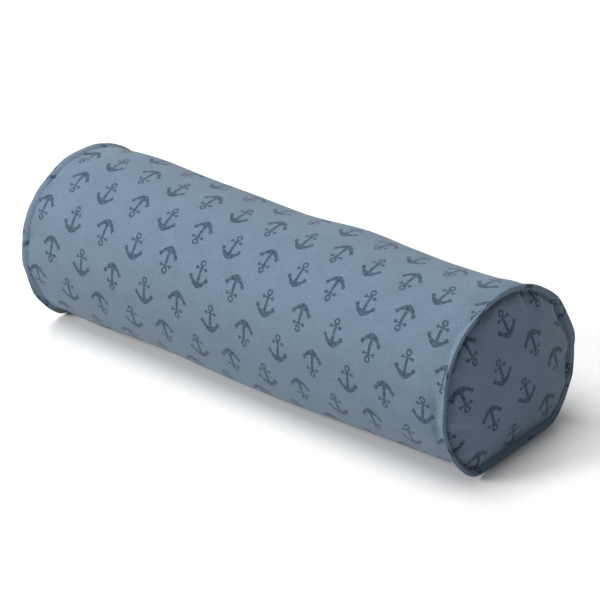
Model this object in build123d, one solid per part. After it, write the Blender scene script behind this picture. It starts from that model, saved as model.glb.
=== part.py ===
# Round lumbar bolster: a zipped, printed cotton cover over a fibre-filled inner cushion.
# Frame: X runs along the bolster, +Y is its back, where the zip is, and Z is up.
# The origin is on the supporting surface, under the middle of the bolster. Millimetres.
from build123d import *
import math
import os

os.makedirs("parts", exist_ok=True)

# Bolster
body_radius = 75.0
overall_length = 490.0
axis_height = 64.5            # the underside is pressed flat, so the axis sits lower than the radius
corner_radius = 30.0          # how softly the round side runs into the flat underside

# Cover cloth
cloth = 1.0
fin_height = 6.0              # turned-out, topstitched edge that stands around each end
fin_leaf = 1.5                # one of the fin's two folded leaves
fin_stitch_radius = body_radius + 2.5
thread = 0.6
thread_rise = 0.3
thread_floor = 1.0            # stitching stops this far above the supporting surface

# Inner cushion
casing_radius = 71.5
casing_cloth = 0.6
casing_end = 0.5              # air between the inner cushion's end and the cover's end
fill_gap = 0.1

# Zip, a size 5 nylon coil in the lengthwise seam
zip_angle = 15.0              # above the back's horizontal
slot_half_length = 200.0
slot_half_width = 6.0
tape_overlap = 8.0            # how far a tape runs on under the cover past the slot
tape_half_length = 208.0
tape_thickness = 0.6
row_gap = 1.2                 # between the two coil rows, where the slider's post runs
row_width = 2.6
row_height = 2.0
stop_length = 3.0
bottom_stop_length = 5.0
stop_rise = 0.4
seam_line = 8.5               # topstitching each side of the slot, measured round the cover
tack_width = 2.0
tack_rise = 0.5

# Slider and pull
slider_length = 12.0
slider_width = 9.6
plate = 1.0
slider_air = 0.4              # running clearance to the coils, tapes and stops
flange_width = 1.2
post_width = 0.6
post_length = 2.0
lower_plate_width = 8.4
arch_length = 6.0
arch_width = 1.8
arch_leg = 1.5
arch_opening = 2.0
arch_top = 0.8
bar_radius = 0.6
pull_length = 26.0
pull_width = 7.0
eye_width = 3.0
eye_length = 3.9
grip_hole = 1.5

# Care label, blank, caught in the seam inside the cover
label_width = 24.0
label_drop = 40.0
label_thickness = 0.4

# Worked out from the above
half_length = overall_length / 2
fin_face = half_length - fin_leaf                  # where the two leaves of a fin meet
wall_radius = body_radius - cloth                  # inside of the cover, outside of the tapes
casing_half = fin_face - casing_end
slider_rise = row_height + slider_air              # underside of the upper plate above the tapes
slider_drop = tape_thickness + slider_air + 0.1    # top of the lower plate below the tapes' face
arch_floor = slider_rise + plate
bar_rise = arch_floor + arch_opening / 2
row_inner = row_gap / 2
row_outer = row_inner + row_width
closed_end = slot_half_length - 1.0                # outer end of the top stops
coil_start = -closed_end + bottom_stop_length
coil_end = closed_end - stop_length
slider_centre = coil_end - slider_air - slider_length / 2


def cross_section(radius, floor, corner):
    # Round section about the bolster's axis, pressed flat at the given height
    disc = Pos(0, axis_height) * Circle(radius)
    above = Pos(0, floor + 2 * radius) * Rectangle(4 * radius, 4 * radius)
    section = disc & above
    if corner > 0:
        section = fillet(section.vertices(), corner)
    return section


def along(section, start, end):
    # Extrude a section of the YZ plane between two places on the bolster's axis
    return extrude(Plane.YZ.offset(start) * section, amount=end - start, dir=(1, 0, 0))


def band(inner, outer, low, high, start, end):
    # Strip of a tube's wall between two distances measured round the cover from the zip
    first = low / body_radius
    last = high / body_radius
    reach = 2 * outer
    wedge = Polygon(
        (0, 0),
        (reach * math.cos(first), reach * math.sin(first)),
        (reach * math.cos(last), reach * math.sin(last)),
        align=None,
    )
    return along((Circle(outer) - Circle(inner)) & wedge, start, end)


def block(length, low, high, bottom, top, centre=0.0):
    # Box beside the zip: length along X, low to high across it, bottom to top above the tapes
    size = Box(length, top - bottom, high - low)
    return Pos(centre, wall_radius + (bottom + top) / 2, (low + high) / 2) * size


def at_zip(shape):
    # Turn a shape made at the back's horizontal round to the zip's place
    return Pos(0, 0, axis_height) * Rot(zip_angle, 0, 0) * shape


def mirrored_ends(shape):
    return [shape, mirror(shape, about=Plane.YZ)]


def save(name, solids):
    solids = [solid for item in solids for solid in item.solids()]
    for solid in solids:
        solid.label = name
    shape = solids[0] if len(solids) == 1 else Compound(children=solids)
    shape.label = name
    export_step(shape, os.path.join("parts", name + ".step"))


outer_section = cross_section(body_radius, 0, corner_radius)
inner_section = cross_section(wall_radius, cloth, corner_radius - cloth)
fin_section = cross_section(body_radius + fin_height, 0, 0)


# Cover: a body panel with a turned-out leaf at each end, and two round end panels
def cover_body():
    tube = along(outer_section - inner_section, -fin_face, fin_face)
    leaf = along(fin_section - inner_section, fin_face - fin_leaf, fin_face)
    slot = at_zip(band(
        wall_radius - cloth, body_radius + cloth,
        -slot_half_width, slot_half_width,
        -slot_half_length, slot_half_length,
    ))
    return Part() + [tube, *mirrored_ends(leaf)] - slot


def cover_disc():
    panel = along(fin_section, fin_face, fin_face + cloth)
    leaf = along(fin_section - inner_section, fin_face, half_length)
    return panel + leaf


def end_stitching():
    ring = Pos(0, axis_height) * (
        Circle(fin_stitch_radius + thread / 2) - Circle(fin_stitch_radius - thread / 2)
    )
    clear = Pos(0, thread_floor + 2 * body_radius) * Rectangle(4 * body_radius, 4 * body_radius)
    line = ring & clear
    outside = along(line, half_length, half_length + thread_rise)
    inside = along(line, fin_face - fin_leaf - thread_rise, fin_face - fin_leaf)
    return [outside, inside]


# Inner cushion: its own sewn casing, packed with fibre
def casing_body():
    outer = cross_section(casing_radius, cloth, corner_radius - cloth)
    inner = cross_section(casing_radius - casing_cloth, cloth + casing_cloth, corner_radius - 2 * cloth)
    return along(outer - inner, -casing_half + casing_cloth, casing_half - casing_cloth)


def casing_disc():
    section = cross_section(casing_radius, cloth, corner_radius - cloth)
    return along(section, casing_half - casing_cloth, casing_half)


def casing_stitching():
    ring = Pos(0, axis_height) * (Circle(casing_radius - 1.0) - Circle(casing_radius - 1.0 - thread))
    clear = Pos(0, 2 * cloth + 2 * body_radius) * Rectangle(4 * body_radius, 4 * body_radius)
    rings = mirrored_ends(along(ring & clear, casing_half, casing_half + thread_rise))
    closing = Pos(0, 0, axis_height) * Rot(180, 0, 0) * band(
        casing_radius, casing_radius + thread_rise, -thread / 2, thread / 2, -casing_half / 2, casing_half / 2
    )
    return [*rings, closing]


def fibre_fill():
    radius = casing_radius - casing_cloth - fill_gap
    section = cross_section(radius, cloth + casing_cloth + fill_gap, corner_radius - 3 * cloth)
    return along(section, -casing_half + casing_cloth + fill_gap, casing_half - casing_cloth - fill_gap)


# Zip: two tapes with a coil row each, stops at both ends, and a slider with its pull
def zip_tape(side):
    edges = sorted((side * row_inner, side * (slot_half_width + tape_overlap)))
    return at_zip(band(
        wall_radius - tape_thickness, wall_radius, *edges, -tape_half_length, tape_half_length
    ))


def zip_coil(side):
    low, high = sorted((side * row_inner, side * row_outer))
    length = coil_end - coil_start
    row = block(length, low, high, 0, row_height, (coil_start + coil_end) / 2)
    row = fillet(row.edges().filter_by(Axis.X).group_by(Axis.Y)[-1], row_height / 3)
    return at_zip(row)


def top_stop(side):
    low, high = sorted((side * row_inner, side * row_outer))
    stop = block(stop_length, low, high, 0, row_height + stop_rise, closed_end - stop_length / 2)
    return at_zip(stop)


def bottom_stop():
    centre = -closed_end + bottom_stop_length / 2
    stop = block(bottom_stop_length, -row_outer, row_outer, 0, row_height + stop_rise, centre)
    return at_zip(fillet(stop.edges().filter_by(Axis.Y), 0.8))


def zip_stitching():
    length = slot_half_length + 2 * tack_width
    lines = [
        band(body_radius, body_radius + thread_rise, edge - thread / 2, edge + thread / 2, -length, length)
        for edge in (-seam_line, seam_line)
    ]
    return [at_zip(line) for line in lines]


def bar_tacks():
    tack = band(
        body_radius, body_radius + tack_rise, -seam_line + thread, seam_line - thread,
        slot_half_length + tack_width / 2, slot_half_length + tack_width * 1.5,
    )
    return [at_zip(item) for item in mirrored_ends(tack)]


def seam_stitching():
    line = band(
        body_radius, body_radius + thread_rise, -thread / 2, thread / 2,
        slot_half_length + 2 * tack_width, fin_face - fin_leaf - 1.0,
    )
    return [at_zip(item) for item in mirrored_ends(line)]


def slider():
    half = slider_width / 2
    upper = block(slider_length, -half, half, slider_rise, arch_floor)
    upper = fillet(upper.edges().filter_by(Axis.Y), 2.5)
    flanges = [
        block(slider_length - 5.0, low, low + flange_width, slider_air, slider_rise)
        for low in (-half, half - flange_width)
    ]
    lower = block(
        slider_length, -lower_plate_width / 2, lower_plate_width / 2, -slider_drop - plate, -slider_drop
    )
    lower = fillet(lower.edges().filter_by(Axis.Y), 2.5)
    post = block(
        post_length, -post_width / 2, post_width / 2, -slider_drop, slider_rise,
        (slider_length - post_length) / 2 - 1.0,
    )
    arch = block(arch_length, -arch_width / 2, arch_width / 2, arch_floor, arch_floor + arch_opening + arch_top)
    arch = fillet(arch.edges().filter_by(Axis.Z).group_by(Axis.Y)[-1], 1.2)
    opening = block(
        arch_length - 2 * arch_leg, -arch_width, arch_width, arch_floor, arch_floor + arch_opening
    )
    whole = upper + flanges + lower + post + (arch - opening)
    return at_zip(Pos(slider_centre, 0, 0) * whole)


def pull():
    # Lies flat over the closed chain; its cross bar turns in the slider's arch
    half = pull_width / 2
    bar = Pos(0, wall_radius + bar_rise, 0) * Cylinder(bar_radius, pull_width)
    tab = block(pull_length, -half, half, bar_rise - bar_radius, bar_rise + bar_radius, -pull_length / 2)
    tab = fillet(tab.edges().filter_by(Axis.Y).group_by(Axis.X)[0], half - 0.4)
    eye = block(
        eye_length, -eye_width / 2, eye_width / 2, bar_rise - 1, bar_rise + 1, -bar_radius - eye_length / 2
    )
    hole = Pos(half - pull_length, wall_radius + bar_rise, 0) * Rot(90, 0, 0) * Cylinder(grip_hole, 4)
    return at_zip(Pos(slider_centre, 0, 0) * (bar + tab - eye - hole))


# Care label, hanging from the seam between the cover and the inner cushion
def care_label():
    start = tape_half_length + 5.0
    return at_zip(band(
        wall_radius - label_thickness, wall_radius, -label_drop, 0, start, start + label_width
    ))


disc_right, disc_left = mirrored_ends(cover_disc())
casing_right, casing_left = mirrored_ends(casing_disc())
stitch_pairs = [mirrored_ends(line) for line in end_stitching()]

save("cover_body", [cover_body()])
save("cover_disc_right", [disc_right])
save("cover_disc_left", [disc_left])
save("end_stitching_right", [pair[0] for pair in stitch_pairs])
save("end_stitching_left", [pair[1] for pair in stitch_pairs])
save("inner_casing_body", [casing_body()])
save("inner_casing_disc_right", [casing_right])
save("inner_casing_disc_left", [casing_left])
save("inner_casing_stitching", casing_stitching())
save("fibre_fill", [fibre_fill()])
save("zip_tape_upper", [zip_tape(1)])
save("zip_tape_lower", [zip_tape(-1)])
save("zip_coil_upper", [zip_coil(1)])
save("zip_coil_lower", [zip_coil(-1)])
save("zip_top_stops", [top_stop(1), top_stop(-1)])
save("zip_bottom_stop", [bottom_stop()])
save("zip_stitching", zip_stitching())
save("zip_bar_tacks", bar_tacks())
save("body_seam_stitching", seam_stitching())
save("zip_slider", [slider()])
save("zip_pull", [pull()])
save("care_label", [care_label()])

hinge = at_zip(Pos(slider_centre, wall_radius + bar_rise, 0) * Vertex(0, 0, 0))
print("hinge axis passes", [round(value, 3) for value in hinge.center()])
print("slider travel", round(slider_centre - slider_length / 2 - slider_air - coil_start, 3))
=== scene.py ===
import math
import bpy
import bmesh
import numpy as np
from mathutils import Matrix, Vector


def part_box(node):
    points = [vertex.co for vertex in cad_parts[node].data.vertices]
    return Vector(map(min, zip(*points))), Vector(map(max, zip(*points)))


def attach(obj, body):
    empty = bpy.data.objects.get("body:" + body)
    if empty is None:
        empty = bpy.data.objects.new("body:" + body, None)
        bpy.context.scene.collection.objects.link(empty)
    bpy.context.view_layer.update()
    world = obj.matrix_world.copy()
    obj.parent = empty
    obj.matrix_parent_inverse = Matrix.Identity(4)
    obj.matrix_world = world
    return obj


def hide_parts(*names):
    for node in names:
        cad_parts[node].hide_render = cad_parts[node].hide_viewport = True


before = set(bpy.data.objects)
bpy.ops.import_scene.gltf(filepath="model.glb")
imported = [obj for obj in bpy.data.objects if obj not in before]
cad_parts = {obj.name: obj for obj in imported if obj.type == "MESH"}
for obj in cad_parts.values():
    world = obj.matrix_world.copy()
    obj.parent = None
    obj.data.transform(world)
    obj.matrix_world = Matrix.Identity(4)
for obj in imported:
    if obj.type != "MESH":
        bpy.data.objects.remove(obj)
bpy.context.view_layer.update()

# Metres throughout. X runs along the bolster, +Y is its back with the zip, Z is up.
bolster = {
    "radius": 0.075,
    "finHeight": 0.006,       # turned-out edge round each end
    "clothThickness": 0.0009,
    "zipAngle": 15.0,         # degrees above the back's horizontal
    "endLift": (0.0036, 0.0066),    # how far the left and right ends are held off the floor
    "endTuck": (0.0020, 0.0036),    # how far their undersides draw in
    "slack": 0.0018,          # how far the stuffed cloth stays inside the cut radius
    "floorGap": -0.0012,      # lowest the cloth settles, before it is rounded off
    "underSoft": 0.009,       # how softly the round side runs into the pressed underside
}
panelLow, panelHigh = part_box("cover_body")
halfLength = panelHigh[0]
axisHeight = panelHigh[2] - bolster["radius"] - bolster["finHeight"]
roundLength = 2 * math.pi * bolster["radius"]
zipTurn = math.radians(bolster["zipAngle"])
print("frame loaded: half length %.4f, axis height %.4f" % (halfLength, axisHeight))


# ---- small helpers ----

def unit(vectors):
    return vectors / np.maximum(np.linalg.norm(vectors, axis=-1, keepdims=True), 1e-9)


def smoothStep(value, start, end):
    t = np.clip((value - start) / (end - start), 0, 1)
    return t * t * (3 - 2 * t)


def liftedFloor(height, floor, soft):
    return (height + floor + np.sqrt((height - floor) ** 2 + soft ** 2)) / 2


def padEnds(grid, axis):
    grid = np.moveaxis(grid, axis, 0)
    grid = np.concatenate([2 * grid[:1] - grid[1:2], grid, 2 * grid[-1:] - grid[-2:-1]])
    return np.moveaxis(grid, 0, axis)


def cubic(a, b, c, d, t):
    return b + 0.5 * t * (c - a + t * (2 * a - 5 * b + 4 * c - d + t * (3 * (b - c) + d - a)))


def sampleRows(grid, at, wrap=False):
    # smooth curve through the grid's rows, read at fractional row numbers
    base = np.clip(np.floor(at).astype(int), 0, len(grid) - (1 if wrap else 2))
    t = (at - base).reshape((-1,) + (1,) * (grid.ndim - 1))
    if wrap:
        pick = [grid[(base + k) % len(grid)] for k in (-1, 0, 1, 2)]
    else:
        padded = padEnds(grid, 0)
        pick = [padded[base + k] for k in (0, 1, 2, 3)]
    return cubic(*pick, t)


def samplePoints(grid, rowAt, columnAt):
    # the same through a grid that doesn't wrap, one point for each pair
    padded = padEnds(padEnds(grid, 0), 1)
    rowBase = np.clip(np.floor(rowAt).astype(int), 0, grid.shape[0] - 2)
    columnBase = np.clip(np.floor(columnAt).astype(int), 0, grid.shape[1] - 2)
    rowPart = (rowAt - rowBase)[:, None]
    columnPart = (columnAt - columnBase)[:, None]
    lines = []
    for k in range(4):
        pick = [padded[rowBase + k, columnBase + m] for m in range(4)]
        lines.append(cubic(*pick, columnPart))
    return cubic(*lines, rowPart)


def meshObject(name, points, faces, material=None, uv=None, smooth=True):
    mesh = bpy.data.meshes.new(name)
    mesh.from_pydata([tuple(p) for p in points], [], [tuple(f) for f in faces])
    if uv is not None:
        layer = mesh.uv_layers.new(name="cloth")
        loops = np.empty(len(mesh.loops), dtype=np.int32)
        mesh.loops.foreach_get("vertex_index", loops)
        layer.data.foreach_set("uv", np.asarray(uv, dtype=np.float32)[loops].ravel())
    if smooth:
        mesh.polygons.foreach_set("use_smooth", [True] * len(mesh.polygons))
    if material:
        mesh.materials.append(material)
    mesh.update()
    piece = bpy.data.objects.new(name, mesh)
    bpy.context.collection.objects.link(piece)
    return piece


def gridFaces(rows, columns, skip=None, flip=False, start=0):
    faces = []
    for i in range(rows - 1):
        for j in range(columns - 1):
            if skip and skip(i, j):
                continue
            a = start + i * columns + j
            quad = (a, a + 1, a + columns + 1, a + columns)
            faces.append(quad[::-1] if flip else quad)
    return faces


def tubeFaces(rows, around):
    faces = []
    for i in range(rows - 1):
        for j in range(around):
            k = (j + 1) % around
            faces.append((i * around + j, i * around + k, (i + 1) * around + k, (i + 1) * around + j))
    return faces


def bakeModifiers(piece):
    # replaces the piece's mesh by what its modifiers make, and removes them
    graph = bpy.context.evaluated_depsgraph_get()
    mesh = bpy.data.meshes.new_from_object(piece.evaluated_get(graph), depsgraph=graph)
    piece.modifiers.clear()
    piece.data = mesh
    mesh.name = piece.name
    return piece


def finishPiece(piece, body, slot, *nodes):
    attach(piece, body)
    if nodes:
        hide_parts(*nodes)
    return piece


# ---- camera, floor and light ----

view = {
    "turn": 49.98,            # degrees from the front towards the right end
    "rise": 29.55,
    "roll": -10.1,
    "distance": 3.02,
    "lens": 221.5,
    "shift": (0.0205, 0.0),
    "target": (0, 0, axisHeight),
}
light = {
    "sky": (0.98, 0.99, 1.0),
    "skyStrength": 0.32,
    "floorColour": (0.72, 0.72, 0.72),
    # name, place, width, watts
    "lamps": [
        ("frontKey", (-1.3, -2.2, 1.7), 1.2, 70),
        ("overhead", (-0.5, -0.1, 2.7), 2.6, 95),
        ("backFill", (-0.8, 2.4, 1.1), 1.4, 14),
    ],
}


def addCamera():
    turn, rise, roll = (math.radians(view[key]) for key in ("turn", "rise", "roll"))
    back = Vector((math.sin(turn) * math.cos(rise), -math.cos(turn) * math.cos(rise), math.sin(rise)))
    right = Vector((math.cos(turn), math.sin(turn), 0))
    up = back.cross(right)
    right, up = (
        right * math.cos(roll) + up * math.sin(roll),
        up * math.cos(roll) - right * math.sin(roll),
    )
    data = bpy.data.cameras.new("camera")
    data.lens = view["lens"]
    data.sensor_width = 36
    data.shift_x, data.shift_y = view["shift"]
    data.clip_end = 50
    camera = bpy.data.objects.new("camera", data)
    turned = Matrix((right, up, back)).transposed().to_4x4()
    camera.matrix_world = Matrix.Translation(Vector(view["target"]) + back * view["distance"]) @ turned
    bpy.context.collection.objects.link(camera)
    bpy.context.scene.camera = camera


def addArea(name, place, size, power):
    data = bpy.data.lights.new(name, "AREA")
    data.shape = "DISK"
    data.size = size
    data.energy = power
    lamp = bpy.data.objects.new(name, data)
    lamp.location = place
    aim = Vector((0, 0, axisHeight)) - Vector(place)
    lamp.rotation_euler = aim.to_track_quat("-Z", "Y").to_euler()
    bpy.context.collection.objects.link(lamp)


def addStudio():
    scene = bpy.context.scene
    scene.view_settings.view_transform = "Standard"
    world = bpy.data.worlds.new("studio")
    world.use_nodes = True
    sky = world.node_tree.nodes["Background"]
    sky.inputs["Color"].default_value = (*light["sky"], 1)
    sky.inputs["Strength"].default_value = light["skyStrength"]
    scene.world = world
    for name, place, size, power in light["lamps"]:
        addArea(name, place, size, power)
    paint = bpy.data.materials.new("floorPaint")
    paint.use_nodes = True
    shader = paint.node_tree.nodes["Principled BSDF"]
    shader.inputs["Base Color"].default_value = (*light["floorColour"], 1)
    shader.inputs["Roughness"].default_value = 0.9
    reach = 8
    corners = [(-reach, -reach, 0), (reach, -reach, 0), (reach, reach, 0), (-reach, reach, 0)]
    meshObject("floor", corners, [(0, 1, 2, 3)], paint, smooth=False)


addCamera()
addStudio()
print("camera and studio placed")


# ---- shader groups, each used by more than one material ----

class Nodes:
    # a short way to wire a node tree

    def __init__(self, tree):
        self.tree = tree

    def add(self, kind, values=None, **settings):
        node = self.tree.nodes.new(kind)
        for key, value in settings.items():
            setattr(node, key, value)
        for key, value in (values or {}).items():
            self.feed(node.inputs[key], value)
        return node

    def feed(self, socket, value):
        if isinstance(value, bpy.types.NodeSocket):
            self.tree.links.new(value, socket)
        else:
            socket.default_value = value

    def math(self, operation, *values):
        node = self.add("ShaderNodeMath", operation=operation)
        for k, value in enumerate(values):
            self.feed(node.inputs[k], value)
        return node.outputs[0]

    def plus(self, a, b):
        return self.math("ADD", a, b)

    def minus(self, a, b):
        return self.math("SUBTRACT", a, b)

    def times(self, a, b):
        return self.math("MULTIPLY", a, b)

    def over(self, a, b):
        return self.math("DIVIDE", a, b)

    def modulo(self, a, b):
        return self.math("FLOORED_MODULO", a, b)

    def larger(self, a, b):
        return self.math("MAXIMUM", a, b)

    def absolute(self, value):
        return self.math("ABSOLUTE", value)

    def length(self, x, y):
        return self.math("SQRT", self.plus(self.times(x, x), self.times(y, y)))

    def noise(self, vector, scale, detail=2.0, distortion=0.0):
        values = {"Vector": vector, "Scale": scale, "Detail": detail, "Distortion": distortion}
        return self.add("ShaderNodeTexNoise", values).outputs[0]

    def bump(self, shader, height, strength, distance):
        node = self.add("ShaderNodeBump", {"Height": height, "Strength": strength, "Distance": distance})
        self.feed(shader.inputs["Normal"], node.outputs[0])

    def blendColour(self, amount, first, second, mode="MIX"):
        node = self.add("ShaderNodeMix", data_type="RGBA", blend_type=mode)
        self.feed(node.inputs["Factor"], amount)
        self.feed(node.inputs["A"], first)
        self.feed(node.inputs["B"], second)
        return node.outputs["Result"]

    def spread(self, value, low, high, newLow, newHigh, smooth=False):
        node = self.add("ShaderNodeMapRange")
        node.interpolation_type = "SMOOTHSTEP" if smooth else "LINEAR"
        for key, item in zip(("Value", "From Min", "From Max", "To Min", "To Max"),
                             (value, low, high, newLow, newHigh)):
            self.feed(node.inputs[key], item)
        return node.outputs["Result"]


def newGroup(name, inputs, outputs):
    tree = bpy.data.node_groups.new(name, "ShaderNodeTree")
    for label, kind, value in inputs:
        socket = tree.interface.new_socket(label, in_out="INPUT", socket_type=kind)
        if value is not None:
            socket.default_value = value
    for label, kind in outputs:
        tree.interface.new_socket(label, in_out="OUTPUT", socket_type=kind)
    nodes = Nodes(tree)
    entry = nodes.add("NodeGroupInput").outputs
    leave = nodes.add("NodeGroupOutput").inputs
    return tree, nodes, entry, leave


anchor = {
    # millimetres, from the middle of each anchor
    "eye": (9.0, 2.2, 0.72),            # height, radius, half the ring's thickness
    "shank": (1.18, 0.035, 1.2, 8.2),   # half width, taper, drop of its middle, half length
    "stock": (4.8, 0.4, 5.0),           # height, half thickness, half length
    "knob": 1.35,                       # at each end of the stock
    "outerArc": (2.5, 0.26, 12.0),      # centre past the middle line, its drop, radius
    "innerArc": (4.35, 11.3),           # centre's height, radius
    "armReach": 8.6,
    "fluke": (8.7, 3.7, 0.72, 1.6),     # out, down, slant, size
    "inkSpread": 0.22,
}


def buildAnchorGroup():
    # rows of little anchors, every other one upside down and every other row half a step along
    tree, n, entry, leave = newGroup(
        "anchorPrint",
        [("Vector", "NodeSocketVector", None), ("Step", "NodeSocketFloat", 0.0392),
         ("Row", "NodeSocketFloat", 0.0324), ("Start X", "NodeSocketFloat", 0.0),
         ("Start Y", "NodeSocketFloat", 0.0), ("Skew", "NodeSocketFloat", 0.0),
         ("Size", "NodeSocketFloat", 1.0), ("Edge", "NodeSocketFloat", 0.3),
         ("Wear", "NodeSocketFloat", 0.5)],
        [("Ink", "NodeSocketFloat")],
    )
    place = n.add("ShaderNodeSeparateXYZ", {0: entry["Vector"]}).outputs
    x = n.minus(place["X"], entry["Start X"])
    y = n.minus(n.minus(place["Y"], entry["Start Y"]), n.times(x, entry["Skew"]))
    row = n.math("ROUND", n.over(y, entry["Row"]))
    shifted = n.minus(n.over(x, entry["Step"]), n.times(n.modulo(row, 2.0), 0.5))
    column = n.math("ROUND", shifted)
    turned = n.minus(n.times(n.modulo(column, 2.0), 2.0), 1.0)
    scale = n.over(1000.0, entry["Size"])           # the anchor below is drawn in millimetres
    across = n.times(n.times(n.minus(shifted, column), entry["Step"]), scale)
    upward = n.minus(y, n.times(row, entry["Row"]))
    upward = n.times(n.times(upward, scale), turned)
    side = n.absolute(across)
    eyeHeight, eyeRadius, eyeHalf = anchor["eye"]
    fromEye = n.length(across, n.minus(upward, eyeHeight))
    eye = n.minus(n.absolute(n.minus(fromEye, eyeRadius)), eyeHalf)
    shankHalf, taper, shankDrop, shankReach = anchor["shank"]
    shank = n.larger(n.minus(side, n.minus(shankHalf, n.times(upward, taper))),
                     n.minus(n.absolute(n.plus(upward, shankDrop)), shankReach))
    stockHeight, stockHalf, stockReach = anchor["stock"]
    level = n.minus(upward, stockHeight)
    stock = n.larger(n.minus(n.absolute(level), stockHalf), n.minus(side, stockReach))
    knob = n.minus(n.length(n.minus(side, stockReach), level), anchor["knob"])
    outerPast, outerDrop, outerRadius = anchor["outerArc"]
    outer = n.minus(n.length(n.plus(side, outerPast), n.plus(upward, outerDrop)), outerRadius)
    innerHeight, innerRadius = anchor["innerArc"]
    inner = n.minus(innerRadius, n.length(side, n.minus(upward, innerHeight)))
    arms = n.larger(n.larger(outer, inner), n.minus(side, anchor["armReach"]))
    flukeOut, flukeDown, slant, flukeSize = anchor["fluke"]
    fluke = n.plus(n.absolute(n.minus(side, flukeOut)), n.absolute(n.plus(upward, flukeDown)))
    fluke = n.minus(n.times(slant, fluke), flukeSize)
    nearest = eye
    for part in (shank, stock, knob, arms, fluke):
        nearest = n.math("MINIMUM", nearest, part)
    ragged = n.noise(entry["Vector"], 1500.0, 2.0)
    nearest = n.minus(nearest, anchor["inkSpread"])
    nearest = n.plus(nearest, n.times(n.minus(ragged, 0.5), entry["Wear"]))
    solid = n.spread(nearest, entry["Edge"], n.times(entry["Edge"], -1.0), 0.0, 1.0, True)
    patchy = n.noise(entry["Vector"], 420.0, 3.0)
    patchy = n.spread(patchy, 0.35, 0.62, n.minus(1.0, n.times(entry["Wear"], 0.5)), 1.0)
    n.feed(leave["Ink"], n.times(solid, patchy))
    return tree


def buildWeaveGroup():
    # plain weave: each thread rises over one neighbour and dips under the next
    tree, n, entry, leave = newGroup(
        "plainWeave",
        [("Vector", "NodeSocketVector", None), ("Threads", "NodeSocketFloat", 2200.0),
         ("Slub", "NodeSocketFloat", 0.3), ("Grain", "NodeSocketFloat", 0.3)],
        [("Height", "NodeSocketFloat"), ("Shade", "NodeSocketFloat"), ("Fleck", "NodeSocketFloat")],
    )
    place = n.add("ShaderNodeSeparateXYZ", {0: entry["Vector"]}).outputs
    drift = n.noise(entry["Vector"], 160.0, 2.0)
    drift = n.times(n.minus(drift, 0.5), entry["Slub"])
    x = n.plus(n.times(place["X"], entry["Threads"]), drift)
    y = n.plus(n.times(place["Y"], entry["Threads"]), drift)
    odd = n.modulo(n.plus(n.math("FLOOR", x), n.math("FLOOR", y)), 2.0)
    ridgeX = n.absolute(n.math("SINE", n.times(x, math.pi)))
    ridgeY = n.absolute(n.math("SINE", n.times(y, math.pi)))
    warp = n.times(n.math("POWER", ridgeX, 0.6), n.plus(0.55, n.times(ridgeY, 0.45)))
    weft = n.times(n.math("POWER", ridgeY, 0.6), n.plus(0.55, n.times(ridgeX, 0.45)))
    over = n.add("ShaderNodeMix", data_type="FLOAT")
    n.feed(over.inputs["Factor"], odd)
    n.feed(over.inputs["A"], warp)
    n.feed(over.inputs["B"], weft)
    height = over.outputs["Result"]
    fuzz = n.noise(entry["Vector"], 900.0, 3.0)
    cloud = n.noise(entry["Vector"], 55.0, 3.0)
    # Shade is painted shade: the weave's dips are darker in colour, plus random yarn tone from the fine noise
    # and the cloud
    shade = n.plus(n.spread(height, 0.0, 1.0, 0.78, 1.08), n.times(n.minus(fuzz, 0.5), entry["Grain"]))
    shade = n.times(shade, n.spread(cloud, 0.3, 0.7, 0.95, 1.05))
    speck = n.add("ShaderNodeTexVoronoi", {"Vector": entry["Vector"], "Scale": 620.0})
    chance = n.add("ShaderNodeSeparateColor", {0: speck.outputs["Color"]}).outputs[0]
    rare = n.spread(chance, 0.955, 0.97, 0.0, 1.0)
    fleck = n.times(rare, n.spread(speck.outputs["Distance"], 0.36, 0.12, 0.0, 1.0))
    n.feed(leave["Height"], n.plus(height, n.times(fuzz, 0.5)))
    n.feed(leave["Shade"], shade)
    n.feed(leave["Fleck"], fleck)
    return tree


anchorGroup = buildAnchorGroup()
weaveGroup = buildWeaveGroup()


def newMaterial(name):
    material = bpy.data.materials.new(name)
    material.use_nodes = True
    n = Nodes(material.node_tree)
    shader = material.node_tree.nodes["Principled BSDF"]
    return material, n, shader


printedCotton = {
    "ground": (0.104, 0.147, 0.196, 1),
    "ink": (0.018, 0.036, 0.064, 1),
    "fleck": (0.30, 0.37, 0.44, 1),
    "threads": 2200.0,        # threads in a metre
    "grain": 0.95,            # light and dark of the yarn
    "step": 0.0392,           # from one anchor to the next along a row
    "row": 0.0324,            # from one row of anchors to the next
    "bodyStart": (0.0443, 0.1046),
    "bodySkew": 0.0405,
    "discStart": (0.0318, -0.0104),
    "discTurn": 8.0,
}


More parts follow.
